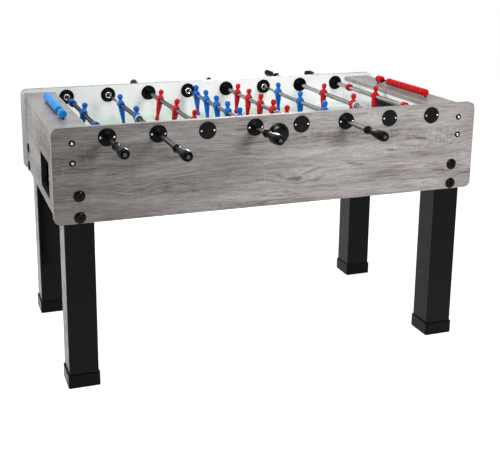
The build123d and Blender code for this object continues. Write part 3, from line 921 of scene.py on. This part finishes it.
def bolt_shell():
    """Wide black bolt heads with a hexagon socket, on the side and end panels."""
    shell = Shell()
    head = soften(((0, 0), (19, 0), (19, 2.4), (16.5, 5.4), (10.5, 7), (7.6, 7)), 1.4)
    socket = [(5.4, 6.8), (5.2, 3), (0, 3)]
    rings = turned(head, 60) + turned(socket, 60, hexagon)
    end_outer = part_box("end_panels")[1].x
    for low, high in solids("leg_bolts"):
        middle = (low + high) / 2
        if abs(middle.y) > liner_inner:
            side = math.copysign(1, middle.y)
            place = facing(Vector((middle.x, side * half_width, middle.z)), (0, side, 0))
        else:
            side = math.copysign(1, middle.x)
            place = facing(Vector((side * end_outer, middle.y, middle.z)), (side, 0, 0))
        shell.skin(rings, place)
    return shell


def panel_screw_places():
    """Places of the screws near the ends of the side panels, on the panels' outer faces."""
    middles = [(low + high) / 2 for low, high in solids("panel_screws")]
    spots = {(round(at.x, 4), math.copysign(1, at.y), round(at.z, 4)) for at in middles}
    return [facing(Vector((x, side * half_width, z)), (0, side, 0)) for x, side, z in sorted(spots)]


def panel_cup_shell():
    """Cup washers of the panel screws."""
    shell = Shell()
    cup = soften(((3, 0), (10.5, 0), (10.5, 0.8), (8.4, 2.8), (7.4, 3.1), (5.4, 1.8), (3, 1.4)), 0.4)
    for place in panel_screw_places():
        shell.skin(turned(cup, 40), place, hollow=True)
    return shell


def panel_head_shell():
    """Bright heads of the panel screws, in their cups."""
    shell = Shell()
    seat = Matrix.Translation((0, 0, 1.2 * MM))
    head = recessed_head(radius=5, height=3.6, arm=0.8, depth=1.1)
    for place in panel_screw_places():
        shell.skin(head, place @ seat)
    return shell


def badge_shell():
    """Bare domed discs in the middle of the long sides."""
    shell = Shell()
    low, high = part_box("badges")
    rim = soften(((0, 0), (37, 0), (37, 2.4), (35.6, 4), (33.2, 4), (31.6, 3)), 0.8)
    dome_radius = 31
    dome_seat = 3.2
    dome_rise = 5.8
    steps = 10
    angles = [math.pi / 2 * step / steps for step in range(steps + 1)]
    dome = [(dome_radius * math.cos(angle), dome_seat + dome_rise * math.sin(angle)) for angle in angles]
    for side in (-1, 1):
        at = Vector((0, side * half_width, (low.z + high.z) / 2))
        shell.skin(turned(rim + dome, 72), facing(at, (0, side, 0)))
    return shell


for name, shell, slot, material, node in (
    ("rod_bush_flanges", bush_shell(), "black_plastic", black_plastic, "rod_bushes"),
    ("blind_cap_discs", cap_shell(), "black_plastic", cap_plastic, "blind_caps"),
    ("inner_flange_discs", inner_flange_shell(), "black_plastic", black_plastic, "inner_flanges"),
    ("flange_screw_heads", flange_screw_shell(), "screw_steel", screw_steel, "flange_screws"),
    ("leg_bolt_heads", bolt_shell(), "black_bolt", bolt_black, "leg_bolts"),
    ("badge_domes", badge_shell(), "badge_plastic", badge_plastic, "badges"),
    ("panel_screw_cups", panel_cup_shell(), "black_bolt", bolt_black, "panel_screws"),
    ("panel_screw_heads", panel_head_shell(), "screw_steel", screw_steel, "panel_screws"),
):
    piece(name, shell.mesh(name, [material]), "cabinet", slot, node)


# What is on the rods
def inner_rod_shell(rod, axis):
    """A steel rod that the tube slides on, with a bright collar nut at the wall that holds it."""
    shell = Shell()
    low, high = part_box(f"{rod}_inner_rod")
    side = handle_side[rod]
    length = (high.y - low.y) / MM
    bar = soften(((0, 0), (rod_radius, 0), (rod_radius, length), (0, length)), 0.8)
    start = on_axis(axis, low.y if side > 0 else high.y)
    shell.skin(turned(bar, 40), facing(start, (0, side, 0)))

    seat = liner_inner - 4.3 * MM  # on the face of the inner flange
    place = facing(on_axis(axis, -side * seat), (0, side, 0))
    floor = 2.4
    nut = (
        (rod_bore, 0), (12, 0), (12, 6.4), (10.8, 8), (8.8, 8), (8, 7.2), (8, floor), (rod_bore, floor),
    )
    shell.skin(turned(soften(nut, 0.5)), place, finish=1, hollow=True)
    # A near-black disc on the floor of the nut's hollow: painted shade.
    recess = [(5.05, floor), (7.9, floor), (7.9, 2.8), (5.05, 2.8)]
    shell.skin(turned(recess), place, finish=2, hollow=True)
    return shell


for rod, axis in rod_axes.items():
    mesh = inner_rod_shell(rod, axis).mesh(f"{rod}_inner_bar", [rod_steel, collar_chrome, recess_painted_shade])
    piece(f"{rod}_inner_bar", mesh, f"{rod}_inner", "rod_steel", f"{rod}_inner_rod")

stop_half = 14  # half the length of a goalie stop
bumper_half = 7  # half the length of a set of rings


def arc(radius, middle, half_angle, height, steps=8):
    """Points along an arc about the axis at one height, from sizes in mm."""
    reach = radius * MM
    angles = [middle - half_angle + 2 * half_angle * step / steps for step in range(steps + 1)]
    return [(reach * math.cos(angle), reach * math.sin(angle), height * MM) for angle in angles]


def stop_shell(places):
    """Goalie stops: a collar on the tube with two rounded prongs that point to the man."""
    shell = Shell()
    collar = soften(
        (
            (tube_bore, -stop_half), (13.4, -stop_half), (15, -12.4), (15, 0), (13.8, 2), (tube_bore, 2),
        ),
        1,
    )
    prong_inner = tube_bore + 0.2
    prong_wall = 6.6
    prong_angle = 0.95
    # Height along a prong and share of its full section
    prong_rows = ((0, 1.0), (5, 0.98), (10, 0.9), (13, 0.74), (stop_half, 0.5))
    for at, inward in places:
        place = facing(at, (0, inward, 0))
        shell.skin(turned(collar, 40), place, hollow=True)
        for middle in (0, math.pi):
            rings = []
            for height, share in prong_rows:
                outside = arc(prong_inner + prong_wall * share, middle, prong_angle * share, height)
                inside = arc(tube_bore, middle, prong_angle * share, height)
                rings.append(outside + inside[::-1])
            shell.skin(rings, place)
    return shell


def bumper_shell(places):
    """Three rings on a dark sleeve, at the ends of the defence rods. The rings' pale grey is a painted
    highlight.
    """
    shell = Shell()
    sleeve = soften(
        (
            (tube_bore, -bumper_half), (11, -bumper_half), (11.4, -6.4), (11.4, 6.4), (11, bumper_half),
            (tube_bore, bumper_half),
        ),
        0.4,
    )
    ring = soften(((10.6, -1.7), (12.4, -1.7), (13, -1), (13, 1), (12.4, 1.7), (10.6, 1.7)), 0.5)
    ring_pitch = 4.6 * MM
    for at in places:
        place = facing(at, (0, 1, 0))
        shell.skin(turned(sleeve, 40), place, finish=1, hollow=True)
        for shift in (-ring_pitch, 0, ring_pitch):
            shell.skin(turned(ring, 40), place @ Matrix.Translation((0, 0, shift)), hollow=True)
    return shell


for rod, axis in rod_axes.items():
    team, row = rod.split("_")
    if row == "goalie":
        low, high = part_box(f"{rod}_stops")
        ends = spread(low.y, high.y, stop_half * MM, 2)
        places = [(on_axis(axis, y), inward) for y, inward in zip(ends, (1, -1))]
        mesh = stop_shell(places).mesh(f"{rod}_clip_stops", [team_plastic[team]])
        piece(f"{rod}_clip_stops", mesh, f"{rod}_rod", f"{team}_plastic", f"{rod}_stops")
    if row == "defence":
        low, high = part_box(f"{rod}_bumpers")
        places = [on_axis(axis, y) for y in spread(low.y, high.y, bumper_half * MM, 2)]
        mesh = bumper_shell(places).mesh(f"{rod}_rings", [bumper_painted_highlight, bumper_dark])
        piece(f"{rod}_rings", mesh, f"{rod}_rod", "rubber", f"{rod}_bumpers")


# The scorers
bead_half = 15.3  # half the room of a bead on its rod
bead_gap = 0.1  # free at each end of it
score_low, score_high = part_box("blue_score_bead")
score_z = (score_low.z + score_high.z) / 2


def bead_shell(places):
    """Facetted score beads on their rod."""
    shell = Shell()
    half = bead_half - bead_gap
    flat_half = 10.8
    profile = (
        (3.3, -half), (9.6, -half), (14.5, -flat_half), (14.5, flat_half), (9.6, half), (3.3, half),
    )
    for at in places:
        shell.skin(turned(soften(profile, 0.8), across=octagon), facing(at, (0, 1, 0)), hollow=True)
    return shell


for team in ("blue", "red"):
    for kind, count in (("bead", 1), ("pack", 9)):
        node = f"{team}_score_{kind}"
        low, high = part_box(node)
        middle = (low + high) / 2
        places = [on_axis(middle, y) for y in spread(low.y, high.y, bead_half * MM, count)]
        mesh = bead_shell(places).mesh(f"{node}_facetted", [bead_plastic_painted_light[team]])
        piece(f"{node}_facetted", mesh, node, f"{team}_plastic", node)

post_head = 8  # length of the round head of an end post
bar_inset = 1
bar_radius = 3
pin_radius = 4


def score_bar_shell():
    """The two score rods, dark steel, each on two pins that stand in the rail."""
    shell = Shell()
    for low, high in solids("score_rods"):
        middle = (low + high) / 2
        reach = (high.y - low.y) / 2 / MM - bar_inset
        bar = [(0, -reach), (bar_radius, -reach), (bar_radius, reach), (0, reach)]
        shell.skin(turned(bar, 24), facing(Vector((middle.x, middle.y, score_z)), (0, 1, 0)))
        rise = (score_z - low.z) / MM
        pin = [(0, 0), (pin_radius, 0), (pin_radius, rise), (0, rise)]
        for y in spread(low.y, high.y, post_head / 2 * MM, 2):
            shell.skin(turned(pin, 24), facing(Vector((middle.x, y, low.z)), (0, 0, 1)))
    return shell


def score_end_shell(low, high):
    """Round heads of the two end posts of one scorer."""
    shell = Shell()
    head = soften(((0, 0), (13.6, 0), (14, 0.4), (14, 5.2), (11.4, post_head), (0, post_head)), 1)
    for side, y in zip((-1, 1), spread(low.y, high.y, post_head * MM, 2)):
        at = Vector(((low.x + high.x) / 2, y, score_z))
        shell.skin(turned(head, across=octagon), facing(at, (0, side, 0)))
    return shell


bars = score_bar_shell().mesh("score_bars", [score_steel])
piece("score_bars", bars, "cabinet", "rod_steel", "score_rods")
for low, high in solids("score_rods"):
    team = "blue" if low.x < 0 else "red"
    mesh = score_end_shell(low, high).mesh(f"{team}_score_ends", [bead_plastic_painted_light[team]])
    piece(f"{team}_score_ends", mesh, "cabinet", f"{team}_plastic", "score_rods")


# Floor, surroundings, lamps and camera
floor_reach = 30
floor_glow = 0.85  # added to the light that falls on it, where it is seen
sky_colour = (0.8, 0.8, 0.8)
sky_light = 0.26  # strength of the light that the surroundings give
front_shade = 0.72  # share taken from what shiny surfaces mirror from low in front
front_span = (-0.75, -0.1)  # Y of a direction, from all in front to none
low_span = (0.2, 0.7)  # Z of a direction, from low to high


def studio_floor():
    """A pale floor that shows white to the eye and keeps a soft shadow."""
    mesh = bpy.data.meshes.new("floor")
    corners = [(-1, -1), (1, -1), (1, 1), (-1, 1)]
    mesh.from_pydata([(x * floor_reach, y * floor_reach, 0) for x, y in corners], [], [(0, 1, 2, 3)])
    floor = bpy.data.objects.new("floor", mesh)
    bpy.context.scene.collection.objects.link(floor)
    paint = Finish("floor")
    paint.colour(paint.shades(paint.noise(paint.coords, 3, 3), (0.8, 0.8, 0.8), 0.975, 1))
    paint.set(Roughness=0.9, Specular_IOR_Level=0.0, Emission_Color=(1, 1, 1, 1))
    seen = paint.seen_rays(paint.tree.nodes.new("ShaderNodeLightPath").outputs)
    paint.feed(paint.maths("MULTIPLY", seen, floor_glow), paint.shader.inputs["Emission Strength"])
    mesh.materials.append(paint.material)


def studio_world():
    """Pale surroundings that also give a plain light. What is mirrored from low in front is darker."""
    world = bpy.data.worlds.new("studio")
    world.use_nodes = True
    world.node_tree.nodes.clear()
    sky = Nodes(world.node_tree)
    path = sky.tree.nodes.new("ShaderNodeLightPath").outputs
    _, y, z = sky.parts(sky.tree.nodes.new("ShaderNodeTexCoord").outputs["Generated"])
    low_front = sky.maths("MULTIPLY", sky.span(y, *front_span, 1, 0), sky.span(z, *low_span, 1, 0))
    dark = sky.maths("MULTIPLY", sky.maths("MULTIPLY", low_front, front_shade), path["Is Glossy Ray"])
    seen = sky.seen_rays(path)
    shown = sky.maths("MULTIPLY", seen, sky.maths("SUBTRACT", 1.0, dark))
    given = sky.maths("MULTIPLY", sky.maths("SUBTRACT", 1.0, seen), sky_light)
    background = sky.tree.nodes.new("ShaderNodeBackground")
    background.inputs["Color"].default_value = rgba(sky_colour)
    sky.feed(sky.maths("ADD", shown, given), background.inputs["Strength"])
    output = sky.tree.nodes.new("ShaderNodeOutputWorld")
    sky.feed(background.outputs["Background"], output.inputs["Surface"])
    bpy.context.scene.world = world


def softbox(name, at, aim, size, watts, beam=180):
    """A rectangular lamp at one point, aimed at another. The beam is its spread in degrees."""
    lamp = bpy.data.lights.new(name, "AREA")
    lamp.shape = "RECTANGLE"
    lamp.size, lamp.size_y = size
    lamp.energy = watts
    lamp.spread = math.radians(beam)
    made = bpy.data.objects.new(name, lamp)
    made.location = at
    made.rotation_euler = (Vector(aim) - Vector(at)).to_track_quat("-Z", "Y").to_euler()
    bpy.context.scene.collection.objects.link(made)


def studio_camera():
    """Camera at the photograph's angle."""
    data = bpy.data.cameras.new("camera")
    data.sensor_width = sensor_width
    data.lens = camera_focus / image_width * sensor_width
    data.shift_x = (image_width / 2 - camera_centre[0]) / image_width
    data.shift_y = (camera_centre[1] - image_height / 2) / image_width
    camera = bpy.data.objects.new("camera", data)
    camera.location = camera_at
    camera.rotation_euler = Euler((math.radians(90 - camera_pitch), 0, math.radians(-camera_yaw)))
    bpy.context.scene.collection.objects.link(camera)
    bpy.context.scene.camera = camera


studio_floor()
studio_world()
softbox("top_softbox", at=(-0.7, -0.3, 2.6), aim=(-0.5, 0, 0.8), size=(0.8, 0.6), watts=23)
softbox(
    "right_softbox", at=(0.6, -3.4, 1.7), aim=(0.42, -0.39, 0.7), size=(0.9, 0.9), watts=7.6, beam=48
)
softbox("left_softbox", at=(-3.4, 0.1, 1.6), aim=(-0.7, 0, 0.6), size=(1.4, 1.6), watts=24)
softbox("rear_softbox", at=(1.3, 3.4, 1.5), aim=(0.1, 0.39, 0.6), size=(0.8, 0.8), watts=6, beam=60)
softbox("goal_softbox", at=(-1.6, 0.1, 1.55), aim=(0.6, 0, 0.8), size=(0.4, 0.4), watts=0.7, beam=32)
studio_camera()
bpy.context.scene.view_settings.view_transform = "Standard"
